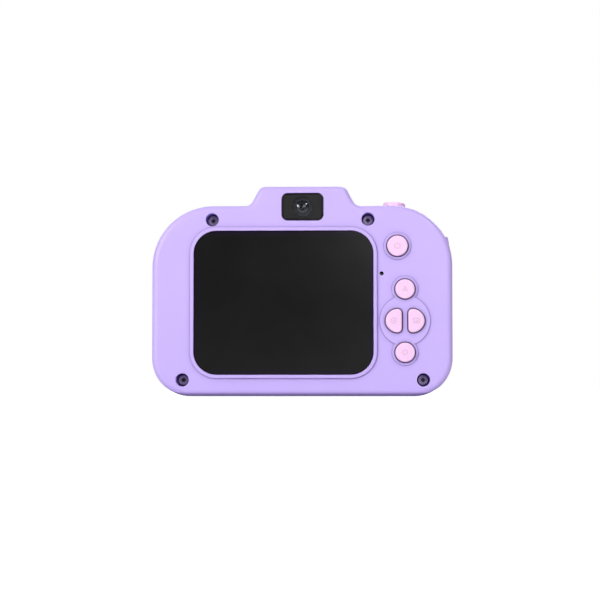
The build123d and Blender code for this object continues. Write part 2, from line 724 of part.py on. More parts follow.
leads(
    "battery_wires",
    [
        ([(x, 6.6, 51.0), (x, 6.6, 56.0), (x, -3.4, 56.0), (x, -3.4, 50.5)], [2.5, 2.5])
        for x in (-36.7, -35.3)
    ],
    1.0,
)
leads(
    "speaker_wires",
    [
        ([(29.5, 5.9, z), (29.5, 1.0, z), (22.5, 0.2, z), (22.5, -5.3, z)], [1.8, 1.8])
        for z in (14.2, 15.8)
    ],
    0.8,
)
leads(
    "shutter_wires",
    [
        ([(x, 0.6, 55.0), (x, -1.8, 55.0), (x, -3.0, 50.5), (x, -5.35, 50.5)], [1.0, 1.0])
        for x in (27.2, 28.4)
    ],
    0.7,
)
leads(
    "flash_wires",
    [
        ([(x, 8.6, 61.0), (x, 7.0, 61.0), (x, -1.5, 50.5), (x, -5.35, 50.5)], [1.4, 2.0])
        for x in (-3.5, 3.5)
    ],
    0.8,
)

# ================================ ports ======================================================
with BuildPart() as usb_port:
    with BuildSketch(Plane.YZ.offset(-49.2)) as usb_outline:
        with Locations((USB_Y, USB_Z)):
            SlotOverall(8.94, 3.26, rotation=90)
    extrude(usb_outline.sketch, amount=7.3)
    with BuildSketch(Plane.YZ.offset(-49.2)) as usb_inside:
        with Locations((USB_Y, USB_Z)):
            SlotOverall(8.34, 2.66, rotation=90)
    extrude(usb_inside.sketch, amount=6.8, mode=Mode.SUBTRACT)
    block((-48.6, USB_Y - 0.35, USB_Z - 3.3), (-42.2, USB_Y + 0.35, USB_Z + 3.3))
keep(usb_port, "usb_port")

CARD_X = -49.6
CARD_L = 15.0
with BuildPart() as card_socket:
    block((-47.8, BOARD_FRONT_Y + 0.02, CARD_Z - 7.0), (-32.9, CARD_Y + 1.1, CARD_Z + 7.0))
    block(
        (-48.0, CARD_Y - 0.42, CARD_Z - 5.6), (-34.2, CARD_Y + 0.42, CARD_Z + 5.6), Mode.SUBTRACT
    )
keep(card_socket, "card_socket")

with BuildPart() as memory_card:
    block(
        (CARD_X, CARD_Y - 0.35, CARD_Z - 5.5), (CARD_X + CARD_L, CARD_Y + 0.35, CARD_Z + 5.5)
    )
    fillet(memory_card.edges().filter_by(Axis.Y), 0.8)
keep(memory_card, "memory_card")
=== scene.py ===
"""Looks of the children's camera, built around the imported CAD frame.  Metres; the screen side
faces -Y, the lens faces +Y, and the camera stands on z = 0."""
import math

import bmesh
import bpy
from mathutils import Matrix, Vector

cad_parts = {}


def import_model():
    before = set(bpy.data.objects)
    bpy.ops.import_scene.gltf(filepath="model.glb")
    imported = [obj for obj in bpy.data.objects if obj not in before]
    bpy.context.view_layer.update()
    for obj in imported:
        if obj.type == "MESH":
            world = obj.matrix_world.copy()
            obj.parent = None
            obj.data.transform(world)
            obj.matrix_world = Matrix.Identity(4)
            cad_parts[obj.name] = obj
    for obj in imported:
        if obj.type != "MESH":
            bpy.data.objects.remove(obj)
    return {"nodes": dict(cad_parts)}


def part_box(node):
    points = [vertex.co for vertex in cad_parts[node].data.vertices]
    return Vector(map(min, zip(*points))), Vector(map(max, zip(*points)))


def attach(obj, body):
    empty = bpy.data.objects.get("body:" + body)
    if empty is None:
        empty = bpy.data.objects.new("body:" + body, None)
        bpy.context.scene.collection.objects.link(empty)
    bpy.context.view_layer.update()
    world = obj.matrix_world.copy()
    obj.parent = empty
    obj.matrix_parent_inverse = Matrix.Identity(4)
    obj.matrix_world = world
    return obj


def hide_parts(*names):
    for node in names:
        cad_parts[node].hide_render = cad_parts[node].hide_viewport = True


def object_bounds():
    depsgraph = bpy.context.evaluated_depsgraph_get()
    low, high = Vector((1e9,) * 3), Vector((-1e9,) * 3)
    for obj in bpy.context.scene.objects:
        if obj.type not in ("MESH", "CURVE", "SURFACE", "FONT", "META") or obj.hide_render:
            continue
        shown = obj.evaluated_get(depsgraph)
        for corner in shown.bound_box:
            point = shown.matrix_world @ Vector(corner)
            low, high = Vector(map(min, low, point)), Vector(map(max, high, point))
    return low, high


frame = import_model()
cad_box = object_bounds()
nodes = frame["nodes"]
MM = 0.001

# ---- colours, linear ---------------------------------------------------------------------------
LILAC = (0.62, 0.478, 1.0)
# The next two colours are painted shade, for corners and creases of the lilac and the pink mouldings.
CREASE_PAINTED_SHADE = (0.31, 0.23, 0.55)
PLUM_PAINTED_SHADE = (0.30, 0.10, 0.26)
PINK = (0.99, 0.66, 0.95)
PINK_MARK = (0.90, 0.56, 0.80)
INK = (0.0045, 0.0043, 0.0042)
# Dark violet edge tone; on the small window it is painted shade of the recess round it.
VIOLET_EDGE_TONE = (0.006, 0.003, 0.012)
WINDOW_GREY = (0.021, 0.022, 0.021)
PRINT_GREY = (0.42, 0.40, 0.44)
CLEAR_TINT = (0.86, 0.87, 0.9)
# Painted shade for the inside of the screws' cross slots.
SLOT_PAINTED_SHADE = (0.003, 0.003, 0.004)


def centre_of(*names):
    """Middle of the box around these CAD nodes."""
    corners = [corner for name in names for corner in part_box(name)]
    low = Vector(map(min, *corners))
    high = Vector(map(max, *corners))
    return (low + high) / 2


# ================================ materials ===================================================
class Nodes:
    """Short ways to add shader nodes to one material."""

    def __init__(self, name):
        self.material = bpy.data.materials.new(name)
        self.material.use_nodes = True
        self.tree = self.material.node_tree
        self.shader = self.tree.nodes["Principled BSDF"]
        self.output = self.tree.nodes["Material Output"]
        self.place = self.add("ShaderNodeTexCoord").outputs["Object"]

    def add(self, kind, **values):
        node = self.tree.nodes.new(kind)
        for key, value in values.items():
            setattr(node, key, value)
        return node

    def link(self, source, target):
        self.tree.links.new(source, target)

    def noise(self, scale, detail=3.0, rough=0.5, stretch=(1, 1, 1)):
        """Noise with that many cells to the metre."""
        mapping = self.add("ShaderNodeMapping")
        mapping.inputs["Scale"].default_value = stretch
        self.link(self.place, mapping.inputs["Vector"])
        noise = self.add("ShaderNodeTexNoise")
        noise.inputs["Scale"].default_value = scale
        noise.inputs["Detail"].default_value = detail
        noise.inputs["Roughness"].default_value = rough
        self.link(mapping.outputs[0], noise.inputs["Vector"])
        return noise.outputs["Fac"]

    def span(self, value, low, high, source=(0.3, 0.7), smooth=False):
        """Maps a value from the source range to low..high."""
        node = self.add("ShaderNodeMapRange")
        if smooth:
            node.interpolation_type = "SMOOTHSTEP"
        self.link(value, node.inputs["Value"])
        node.inputs["From Min"].default_value = source[0]
        node.inputs["From Max"].default_value = source[1]
        node.inputs["To Min"].default_value = low
        node.inputs["To Max"].default_value = high
        return node.outputs["Result"]

    def math(self, operation, first, second=0.0):
        node = self.add("ShaderNodeMath", operation=operation)
        for slot, value in enumerate((first, second)):
            if isinstance(value, (int, float)):
                node.inputs[slot].default_value = value
            else:
                self.link(value, node.inputs[slot])
        return node.outputs[0]

    def mix(self, factor, first, second):
        """Mixes two colours."""
        node = self.add("ShaderNodeMix", data_type="RGBA")
        sockets = (node.inputs[0], node.inputs[6], node.inputs[7])
        for socket, value in zip(sockets, (factor, first, second)):
            if isinstance(value, (int, float)):
                socket.default_value = value
            elif isinstance(value, tuple):
                socket.default_value = (*value, 1.0)
            else:
                self.link(value, socket)
        return node.outputs[2]

    def bump(self, height, distance, strength=1.0, under=None):
        node = self.add("ShaderNodeBump")
        node.inputs["Distance"].default_value = distance
        node.inputs["Strength"].default_value = strength
        self.link(height, node.inputs["Height"])
        if under is not None:
            self.link(under, node.inputs["Normal"])
        return node.outputs["Normal"]

    def offset(self, centre):
        """Place on the surface, from centre."""
        node = self.add("ShaderNodeVectorMath", operation="SUBTRACT")
        self.link(self.place, node.inputs[0])
        node.inputs[1].default_value = centre
        return node.outputs[0]

    def split(self, vector=None):
        """X, Y and Z outputs of a vector, or of the place on the surface."""
        node = self.add("ShaderNodeSeparateXYZ")
        self.link(self.place if vector is None else vector, node.inputs[0])
        return node.outputs

    def apart(self, value, target):
        """How far a value is from target, either way."""
        return self.math("ABSOLUTE", self.math("SUBTRACT", value, target))

    def radius(self, centre):
        """Distance from an axis along Y through centre."""
        flat = self.add("ShaderNodeVectorMath", operation="MULTIPLY")
        self.link(self.offset(centre), flat.inputs[0])
        flat.inputs[1].default_value = (1, 0, 1)
        length = self.add("ShaderNodeVectorMath", operation="LENGTH")
        self.link(flat.outputs[0], length.inputs[0])
        return length.outputs["Value"]

    def frame_edge(self, centre, width, height, soft):
        """1 inside a rectangle about centre that fades to 0 over soft at its border."""
        where = self.split(self.offset(centre))
        across = self.math("SUBTRACT", self.math("ABSOLUTE", where["X"]), width / 2)
        upward = self.math("SUBTRACT", self.math("ABSOLUTE", where["Z"]), height / 2)
        return self.span(self.math("MAXIMUM", across, upward), 1, 0, (-soft, 0), smooth=True)

    def set(self, **values):
        """Sets constants on the shader's own sockets."""
        for key, value in values.items():
            socket = self.shader.inputs[key.replace("_", " ")]
            socket.default_value = (*value, 1.0) if isinstance(value, tuple) else value
        return self


def tint(colour, factor):
    """The colour made darker or lighter, kept within 1."""
    return tuple(min(1.0, c * factor) for c in colour)


def moulded(name, colour, roughness=0.38, grain=0.012, vary=0.02, coat=0.0, crease_shade=None, seam_y=None):
    """Moulded plastic: spark-eroded grain that many mm deep, faint flow mottling and uneven gloss.
    With a crease colour, corners and creases get painted shade in it.  With seam_y, a dark hairline marks
    that depth."""
    crease_shade_reach = 1.6 * MM
    seam_core, seam_edge = 0.05 * MM, 0.13 * MM
    n = Nodes(name)
    flow = n.noise(55, 4.0, 0.55, (1, 1, 1.6))
    shade = n.mix(n.span(flow, 0, 1), tint(colour, 1 - vary), tint(colour, 1 + vary))
    # Painted shade: an ambient occlusion node darkens corners and creases towards the crease colour.
    if crease_shade:
        occlusion_shade = n.add("ShaderNodeAmbientOcclusion", samples=8)
        occlusion_shade.inputs["Distance"].default_value = crease_shade_reach
        shade = n.mix(n.span(occlusion_shade.outputs["AO"], 0, 1, (0.5, 1.0)), crease_shade, shade)
    if seam_y is not None:
        seam = n.span(n.apart(n.split()["Y"], seam_y), 1, 0, (seam_core, seam_edge))
        shade = n.mix(seam, shade, tint(colour, 0.2))
    n.link(shade, n.shader.inputs["Base Color"])
    n.link(n.span(n.noise(140, 2.0), roughness - 0.04, roughness + 0.05), n.shader.inputs["Roughness"])
    fine = n.bump(n.noise(5200, 2.0, 0.6), grain * MM)
    n.link(n.bump(n.noise(330, 2.0), grain * 1.2 * MM, 0.6, fine), n.shader.inputs["Normal"])
    n.set(Coat_Weight=coat, Coat_Roughness=0.12)
    return n.material


def metal(name, colour, roughness=0.3, brushed=(1, 1, 1)):
    """Plated metal with fine brushing."""
    n = Nodes(name)
    streaks = n.noise(900, 5.0, 0.6, brushed)
    plated = n.mix(n.span(streaks, 0, 1), tint(colour, 0.85), tint(colour, 1.1))
    n.link(plated, n.shader.inputs["Base Color"])
    n.link(n.span(streaks, roughness - 0.08, roughness + 0.12), n.shader.inputs["Roughness"])
    n.link(n.bump(streaks, 0.006 * MM), n.shader.inputs["Normal"])
    n.set(Metallic=1.0)
    return n.material


def screw_with_painted_shade(name, colour, slot_y, half):
    """Screw finish: plated head whose colour is painted reflection of the shaded lilac recess walls, with
    the cross slot at depth slot_y +- half painted black as shade.
    """
    n = Nodes(name)
    streaks = n.noise(900, 5.0, 0.6)
    plated = n.mix(n.span(streaks, 0, 1), tint(colour, 0.85), tint(colour, 1.1))
    # Painted shade: the slot depth is painted black and made less metallic.
    inside = n.span(n.apart(n.split()["Y"], slot_y), 1, 0, (half * 0.9, half))
    n.link(n.mix(inside, plated, SLOT_PAINTED_SHADE), n.shader.inputs["Base Color"])
    n.link(n.span(streaks, 0.3, 0.5), n.shader.inputs["Roughness"])
    n.link(n.math("SUBTRACT", 0.9, n.math("MULTIPLY", inside, 0.9)), n.shader.inputs["Metallic"])
    n.link(n.bump(streaks, 0.006 * MM), n.shader.inputs["Normal"])
    return n.material


def window(name, centre, clear_r, rings=(), ink=INK, border=None):
    """Acrylic printed on its back and clear inside clear_r.  Rings are (radius, half width) of fine
    printed lines, and border is the width, height and fade of the print inside a darker edge of painted
    shade."""
    n = Nodes(name)
    smudge = n.noise(70, 5.0, 0.6)
    colour = n.mix(n.span(smudge, 0, 1), tint(ink, 0.85), tint(ink, 1.15))
    if border:
        # Painted shade: the darker edge stands for the shade of the recess round the window.
        colour = n.mix(n.frame_edge(centre, *border), VIOLET_EDGE_TONE, colour)
    distance = n.radius(centre)
    for ring_r, half in rings:
        line = n.span(n.apart(distance, ring_r), 1, 0, (half, half * 1.6))
        colour = n.mix(line, colour, PRINT_GREY)
    n.link(colour, n.shader.inputs["Base Color"])
    n.link(n.span(smudge, 0.12, 0.17), n.shader.inputs["Roughness"])
    n.link(n.bump(n.noise(40, 2.0), 0.01 * MM), n.shader.inputs["Normal"])
    n.set(Coat_Weight=0.3, Coat_Roughness=0.06)
    clear = n.add("ShaderNodeBsdfTransparent")
    clear.inputs["Color"].default_value = (*CLEAR_TINT, 1)
    mixer = n.add("ShaderNodeMixShader")
    print_edge = 0.05 * MM
    clearness = 0.93
    inside = n.span(distance, clearness, 0.0, (clear_r - print_edge, clear_r + print_edge))
    n.link(inside, mixer.inputs[0])
    n.link(n.shader.outputs[0], mixer.inputs[1])
    n.link(clear.outputs[0], mixer.inputs[2])
    n.link(mixer.outputs[0], n.output.inputs["Surface"])
    return n.material


def display_window():
    """Glossy screen window: black print with a faint violet cast along its border."""
    n = Nodes("screen_acrylic")
    smudge = n.noise(45, 6.0, 0.6)
    ink = n.mix(n.span(smudge, 0, 1), tint(INK, 0.9), tint(INK, 1.1))
    display = n.frame_edge(SCREEN, *DISPLAY_BORDER)
    n.link(n.mix(display, VIOLET_EDGE_TONE, ink), n.shader.inputs["Base Color"])
    n.link(n.span(smudge, 0.16, 0.19), n.shader.inputs["Roughness"])
    n.link(n.bump(n.noise(30, 2.0), 0.012 * MM), n.shader.inputs["Normal"])
    return n.material


def dome_glass(name):
    """Front element of the small lens, painted by radius: a black pupil that is painted shade, with a
    pale green heart that is painted reflection, in a smoky ring that is paler low down as painted light."""
    n = Nodes(name)
    distance = n.radius(SELFIE)
    smoke, smoke_painted_light, rim = (0.020, 0.021, 0.022), (0.17, 0.17, 0.18), (0.035, 0.036, 0.038)
    pupil_painted_shade, heart_painted_reflection = (0.003, 0.004, 0.004), (0.12, 0.15, 0.13)
    # Painted light: the ring is paler low down.
    low = n.span(n.split()["Z"], 1, 0, (SELFIE.z - 2.0 * MM, SELFIE.z + 1.0 * MM), smooth=True)
    edge = n.span(distance, 0, 1, (1.75 * MM, 2.2 * MM), smooth=True)
    # Painted shade: the pupil is black.  Painted reflection: its pale green heart.
    pupil_shade_mask = n.span(distance, 1, 0, (1.15 * MM, 1.45 * MM), smooth=True)
    reflection_spot = n.span(distance, 1, 0, (0.15 * MM, 0.5 * MM), smooth=True)
    shade = n.mix(edge, n.mix(low, smoke, smoke_painted_light), rim)
    shade = n.mix(reflection_spot, n.mix(pupil_shade_mask, shade, pupil_painted_shade), heart_painted_reflection)
    n.link(shade, n.shader.inputs["Base Color"])
    n.link(n.span(n.noise(500), 0.05, 0.1), n.shader.inputs["Roughness"])
    n.set(Coat_Weight=1.0, Coat_Roughness=0.04, Specular_IOR_Level=0.6)
    return n.material


def clear_glass(name, colour, coating_painted_reflection):
    """Coated lens glass over black: dark, with the coating's coloured reflection painted into the base
    colour towards grazing angles.
    """
    n = Nodes(name)
    facing = n.add("ShaderNodeLayerWeight")
    facing.inputs["Blend"].default_value = 0.35
    swirl = n.span(n.noise(200, 2.0), -0.06, 0.06)
    edge = n.math("ADD", facing.outputs["Facing"], swirl)
    # Painted reflection: the base colour turns to the coating colour at grazing angles.
    n.link(n.mix(edge, colour, coating_painted_reflection), n.shader.inputs["Base Color"])
    n.link(n.span(n.noise(400, 2.0), 0.03, 0.07), n.shader.inputs["Roughness"])
    n.set(Coat_Weight=1.0, Coat_Roughness=0.02, Specular_IOR_Level=0.9)
    return n.material


def laminate(name):
    """Green solder mask with copper tracks showing through."""
    n = Nodes(name)
    tracks = n.add("ShaderNodeTexBrick")
    tracks.inputs["Scale"].default_value = 260
    tracks.inputs["Mortar Size"].default_value = 0.06
    n.link(n.place, tracks.inputs["Vector"])
    mask, track = (0.008, 0.11, 0.045), (0.02, 0.2, 0.07)
    n.link(n.mix(tracks.outputs["Fac"], mask, track), n.shader.inputs["Base Color"])
    n.link(n.span(n.noise(500), 0.25, 0.4), n.shader.inputs["Roughness"])
    n.link(n.bump(tracks.outputs["Fac"], 0.02 * MM), n.shader.inputs["Normal"])
    return n.material


def woven(name, colour):
    """Speaker cone: crossed threads."""
    n = Nodes(name)
    across = n.add("ShaderNodeTexWave", wave_type="BANDS", bands_direction="X")
    upward = n.add("ShaderNodeTexWave", wave_type="BANDS", bands_direction="Z")
    for wave in (across, upward):
        wave.inputs["Scale"].default_value = 900
        n.link(n.place, wave.inputs["Vector"])
    weave = n.math("MULTIPLY", across.outputs["Fac"], upward.outputs["Fac"])
    n.link(n.mix(weave, tint(colour, 0.5), tint(colour, 1.6)), n.shader.inputs["Base Color"])
    n.link(n.span(weave, 0.75, 0.9, (0, 1)), n.shader.inputs["Roughness"])
    n.link(n.bump(weave, 0.05 * MM), n.shader.inputs["Normal"])
    return n.material


def pouch(name):
    """Crinkled aluminium laminate of the battery."""
    n = Nodes(name)
    crinkle = n.noise(180, 6.0, 0.65)
    n.link(n.mix(crinkle, (0.36, 0.37, 0.39), (0.52, 0.53, 0.55)), n.shader.inputs["Base Color"])
    n.link(n.span(crinkle, 0.3, 0.5), n.shader.inputs["Roughness"])
    n.link(n.bump(crinkle, 0.15 * MM), n.shader.inputs["Normal"])
    n.set(Metallic=0.7)
    return n.material


def frosted(name):
    """Flash window: clear acrylic moulded with fine prism lines, painted lighter on their crests and
    darker in their valleys as light and shade.
    """
    n = Nodes(name)
    prisms = n.add("ShaderNodeTexWave", wave_type="BANDS", bands_direction="Z")
    prisms.inputs["Scale"].default_value = 260
    n.link(n.place, prisms.inputs["Vector"])
    # Painted light and shade: prism crests lighter, valleys darker.
    prism_painted_shade, prism_painted_light = (0.62, 0.62, 0.6), (0.88, 0.88, 0.84)
    n.link(n.mix(prisms.outputs["Fac"], prism_painted_shade, prism_painted_light), n.shader.inputs["Base Color"])
    n.link(n.span(n.noise(300), 0.12, 0.22), n.shader.inputs["Roughness"])
    n.link(n.bump(prisms.outputs["Fac"], 0.12 * MM), n.shader.inputs["Normal"])
    n.set(Coat_Weight=0.6, Coat_Roughness=0.05)
    return n.material


SCREEN = centre_of("screen_window")
LENS = centre_of("lens_ring")
SELFIE = centre_of("selfie_window")
SEAM_Y = -2.0 * MM  # where the two shells meet
SLOT_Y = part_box("case_screws")[0].y + 0.6 * MM  # middle of the cross slots
SLOT_HALF = 0.48 * MM
DISPLAY_BORDER = (58.4 * MM, 46.5 * MM, 1.4 * MM)
# Size and fade of the small window's painted-shade edge.
SELFIE_BORDER = (13.3 * MM, 8.6 * MM, 0.6 * MM)
SELFIE_CLEAR_R = 3.3 * MM
LENS_CLEAR_R = 7.6 * MM
LENS_PRINT = ((9.2 * MM, 0.07 * MM), (13.4 * MM, 0.05 * MM), (15.2 * MM, 0.12 * MM))

finishes = {
    # The crease colours below paint shade into the corners and creases of these mouldings.
    "lilac_abs": moulded("lilac_abs", LILAC, 0.46, 0.006, 0.012, coat=0.06, crease_shade=CREASE_PAINTED_SHADE, seam_y=SEAM_Y),
    "lilac_block": moulded("lilac_block", LILAC, 0.46, 0.006, 0.012, coat=0.06, crease_shade=CREASE_PAINTED_SHADE),
    # The pale lilac of the screen's inner edge is painted highlight; its coat and low roughness are real
    # gloss.
    "lilac_gloss_painted_highlight": moulded("lilac_gloss_painted_highlight", (0.92, 0.86, 1.0), 0.2, 0.003, 0.01, coat=0.6),
    "pink_abs": moulded("pink_abs", PINK, 0.34, 0.006, 0.015, coat=0.15, crease_shade=PLUM_PAINTED_SHADE),
    "black_nylon": moulded("black_nylon", (0.02, 0.02, 0.022), 0.5, 0.012, 0.1),
    "black_satin": moulded("black_satin", (0.028, 0.028, 0.03), 0.36, 0.006, 0.1),
    "white_abs": moulded("white_abs", (0.78, 0.77, 0.73), 0.45),
    "rubber": moulded("rubber", (0.008, 0.008, 0.008), 0.8, 0.02, 0.1),
    "chip_resin": moulded("chip_resin", (0.018, 0.018, 0.02), 0.55, 0.02, 0.1),
    "card_resin": moulded("card_resin", (0.012, 0.012, 0.014), 0.4, 0.008, 0.1),
    "ceramic_tan": moulded("ceramic_tan", (0.42, 0.31, 0.2), 0.4, 0.008, 0.15),
    "kapton": moulded("kapton", (0.42, 0.17, 0.02), 0.3, 0.004, 0.1),
    "foam": moulded("foam", (0.8, 0.79, 0.74), 0.85, 0.06, 0.05),
    "red_pvc": moulded("red_pvc", (0.5, 0.015, 0.012), 0.4, 0.006, 0.05),
    "led_phosphor": moulded("led_phosphor", (0.9, 0.78, 0.25), 0.4, 0.01, 0.05),
    "lcd_glass": moulded("lcd_glass", (0.02, 0.02, 0.022), 0.2, 0.003, 0.1),
    "pink_mark": moulded("pink_mark", PINK_MARK, 0.4, 0.004, 0.02),
    "steel": metal("steel", (0.56, 0.55, 0.57), 0.3, (1, 1, 12)),
    # The lilac-grey head colour is painted reflection of the shaded lilac recess walls; the slot is
    # painted black as shade.
    "screw_steel": screw_with_painted_shade("screw_steel", (0.31, 0.255, 0.39), SLOT_Y, SLOT_HALF),
    "gold": metal("gold", (0.8, 0.55, 0.2), 0.25),
    "ring_grey": moulded("ring_grey", (0.085, 0.085, 0.09), 0.3, 0.004, 0.08),
    "ferrite": metal("ferrite", (0.2, 0.2, 0.21), 0.45),
    "board": laminate("board"),
    "cone": woven("cone", (0.02, 0.02, 0.02)),
    "pouch": pouch("pouch"),
    "prism_acrylic": frosted("prism_acrylic"),
    "screen_acrylic": display_window(),
    "small_window": window(
        "small_window", SELFIE, SELFIE_CLEAR_R, ink=WINDOW_GREY, border=SELFIE_BORDER
    ),
    "lens_window": window("lens_window", LENS, LENS_CLEAR_R, rings=LENS_PRINT),
    "selfie_glass": dome_glass("selfie_glass"),
    "main_glass": clear_glass("main_glass", (0.004, 0.006, 0.012), (0.16, 0.10, 0.24)),
}

DRESS = {
    "lilac_abs": ("rear_shell", "front_shell"),
    "lilac_block": ("strap_loop",),
    "pink_abs": (
        "lens_ring",
        "shutter_button",
        "power_button",
        "up_button",
        "down_button",
        "left_button",
        "right_button",
    ),
    "screen_acrylic": ("screen_window",),
    "small_window": ("selfie_window",),
    "lens_window": ("lens_cover",),
    "prism_acrylic": ("flash_window",),
    "led_phosphor": ("flash_led",),
    "screw_steel": ("case_screws", "board_screws"),
    "steel": ("usb_port", "card_socket", "microphone", "speaker_frame"),
    "ferrite": ("speaker_magnet",),
    "cone": ("speaker_cone",),
    "board": ("main_board", "selfie_board", "main_sensor_board", "flash_board", "shutter_board"),
    "chip_resin": ("main_processor", "board_chips"),
    "ceramic_tan": ("board_parts",),
    "black_nylon": (
        "keypad_switches",
        "shutter_switch",
        "selfie_holder",
        "main_sensor_holder",
        "power_plunger",
        "up_plunger",
        "down_plunger",
        "left_plunger",
        "right_plunger",
        "shutter_plunger",
    ),
    "lcd_glass": ("lcd_panel",),
    "white_abs": ("lcd_bracket",),
    "kapton": ("lcd_flex", "selfie_flex", "main_camera_flex"),
    "foam": ("battery_tape",),
    "pouch": ("battery",),
    "rubber": ("mic_boot",),
    "red_pvc": ("battery_wires", "speaker_wires", "shutter_wires", "flash_wires"),
    "card_resin": ("memory_card",),
    "black_satin": ("lens_baffle", "main_lens_barrel", "selfie_lens_barrel"),
    "selfie_glass": ("selfie_lens_glass",),
    "main_glass": ("main_lens_glass",),
}


def paint(obj, finish):
    obj.data.materials.clear()
    obj.data.materials.append(finishes[finish])


for finish, names in DRESS.items():
    for name in names:
        paint(nodes[name], finish)


# ================================ added pieces ================================================
def piece(name, mesh_builder, finish, body, smooth=True):
    """Makes a mesh piece, finishes it and lets it ride on a body."""
    mesh = bpy.data.meshes.new(name)
    bm = bmesh.new()
    mesh_builder(bm)
    bmesh.ops.recalc_face_normals(bm, faces=bm.faces)
    for face in bm.faces:
        face.smooth = smooth
    bm.to_mesh(mesh)
    bm.free()
    obj = bpy.data.objects.new(name, mesh)
    bpy.context.scene.collection.objects.link(obj)
    paint(obj, finish)
    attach(obj, body)
    return obj


def outlines(shapes, front_y, thick):
    """Builder of flat relief: closed (x, z) outlines raised from front_y + thick to front_y."""

    def build(bm):
        for shape in shapes:
            low = [bm.verts.new((x, front_y + thick, z)) for x, z in shape]
            high = [bm.verts.new((x, front_y, z)) for x, z in shape]
            bm.faces.new(low)
            bm.faces.new(high[::-1])
            for i in range(len(shape)):
                j = (i + 1) % len(shape)
                bm.faces.new((low[j], low[i], high[i], high[j]))

    return build


def arc(centre, radius, start, end, steps=24):
    """Points along an arc, angles in degrees."""
    points = []
    for i in range(steps + 1):
        angle = math.radians(start + (end - start) * i / steps)
        points.append((centre[0] + radius * math.cos(angle), centre[1] + radius * math.sin(angle)))
    return points


def band(centre, outer, inner, start, end):
    """Part of a ring as a closed outline."""
    return arc(centre, outer, start, end) + arc(centre, inner, end, start)


def lathe(profile, centre, steps=96):
    """Builder of a turned piece from (y, radius) points about the axis along Y through centre."""

    def build(bm):
        rings = []
        for y, radius in profile:
            if radius == 0:
                rings.append([bm.verts.new((centre.x, y, centre.z))])
                continue
            ring = []
            for i in range(steps):
                angle = 2 * math.pi * i / steps
                ring.append(
                    bm.verts.new(
                        (centre.x + radius * math.cos(angle), y, centre.z + radius * math.sin(angle))
                    )
                )
            rings.append(ring)
        for first, second in zip(rings, rings[1:] + rings[:1]):
            if len(first) == 1 and len(second) == 1:
                continue
            for i in range(steps):
                j = (i + 1) % steps
                corners = [first[i % len(first)], first[j % len(first)]]
                corners += [second[j % len(second)], second[i % len(second)]]
                bm.faces.new(list(dict.fromkeys(corners)))

    return build


def bar(left, bottom, right, top):
    """A rectangle as a closed outline."""
    return [(left, bottom), (right, bottom), (right, top), (left, top)]


def hoop(outer, inner):
    """A whole ring about (0, 0), as two halves."""
    return [band((0, 0), outer, inner, 0, 180), band((0, 0), outer, inner, 180, 360)]


def key_marks():
    """Tone-on-tone generic symbols on the five keys, drawn in mm about the middle of each key."""
    proud = 0.02 * MM
    thick = 0.2 * MM

    def mark(key, shapes):
        low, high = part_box(key + "_button")
        middle = (low + high) / 2
        placed = [[(middle.x + x * MM, middle.z + z * MM) for x, z in shape] for shape in shapes]
        relief = outlines(placed, low.y - proud, thick)
        piece(key + "_mark", relief, "pink_mark", key + "_key", smooth=False)

    dot = arc((0, 0), 0.3, 0, 345, 22)
    wide, tall, line = 1.1, 0.6, 0.25
    picture_frame = [
        bar(-wide, tall, wide, tall + line),
        bar(-wide, -tall - line, wide, -tall),
        bar(-wide, -tall, line - wide, tall),
        bar(wide - line, -tall, wide, tall),
    ]
    hill = [(-0.7, -0.45), (0.7, -0.45), (0.15, 0.35)]
    mark("power", [band((0, 0), 1.05, 0.78, 125, 415), bar(-0.14, 0.3, 0.14, 1.25)])
    mark("up", [[(-0.95, -0.6), (0.95, -0.6), (0, 0.95)]])
    mark("down", hoop(0.9, 0.62))
    mark("left", [*hoop(1.0, 0.74), dot])
    mark("right", [*picture_frame, hill])


def small_lens():
    """Stepped rings behind the small window, as (depth, radius) in mm from the front of the barrel."""
    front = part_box("selfie_lens_barrel")[0].y
    profile = [
        (0.0, 3.23),
        (0.0, 2.98),
        (0.3, 2.9),
        (0.3, 2.62),
        (0.05, 2.56),
        (0.05, 2.32),
        (0.6, 2.32),
        (0.62, 2.2),
        (1.1, 1.3),
        (1.2, 1.24),
        (2.45, 1.24),
        (2.45, 3.23),
    ]
    rings = lathe([(front + y * MM, r * MM) for y, r in profile], SELFIE)
    barrel = piece("small_lens_rings", rings, "ring_grey", "case", smooth=False)
    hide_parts("selfie_lens_barrel")


def rounded(width, height, radius, steps=12):
    """Points round a rounded rectangle about (0, 0)."""
    points = []
    for corner, (sx, sz) in enumerate(((1, 1), (-1, 1), (-1, -1), (1, -1))):
        middle = (sx * (width / 2 - radius), sz * (height / 2 - radius))
        points += arc(middle, radius, 90 * corner, 90 * corner + 90, steps)
    return points


def screen_edge():
    """Polished inner edge of the lip round the screen, in a pale lilac that is painted highlight.  Its
    section is (outward, deep) in mm, from the gap round the window and from the top of the lip."""
    low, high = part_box("screen_window")
    lip = low.y - 0.48 * MM
    gap = 0.06
    window_corner_r = 7.65 * MM
    section = [(0.0, 0.42), (0.01, 0.22), (0.06, 0.10), (0.16, 0.01), (0.3, -0.02), (0.4, 0.05)]

    def build(bm):
        loops = []
        for out, deep in section:
            grow = 2 * (out + gap) * MM
            loop = rounded(high.x - low.x + grow, high.z - low.z + grow, window_corner_r + grow / 2)
            loops.append([bm.verts.new((SCREEN.x + x, lip + deep * MM, SCREEN.z + z)) for x, z in loop])
        for first, second in zip(loops, loops[1:] + loops[:1]):
            for i in range(len(first)):
                j = (i + 1) % len(first)
                bm.faces.new((first[i], first[j], second[j], second[i]))

    piece("screen_edge", build, "lilac_gloss_painted_highlight", "case")


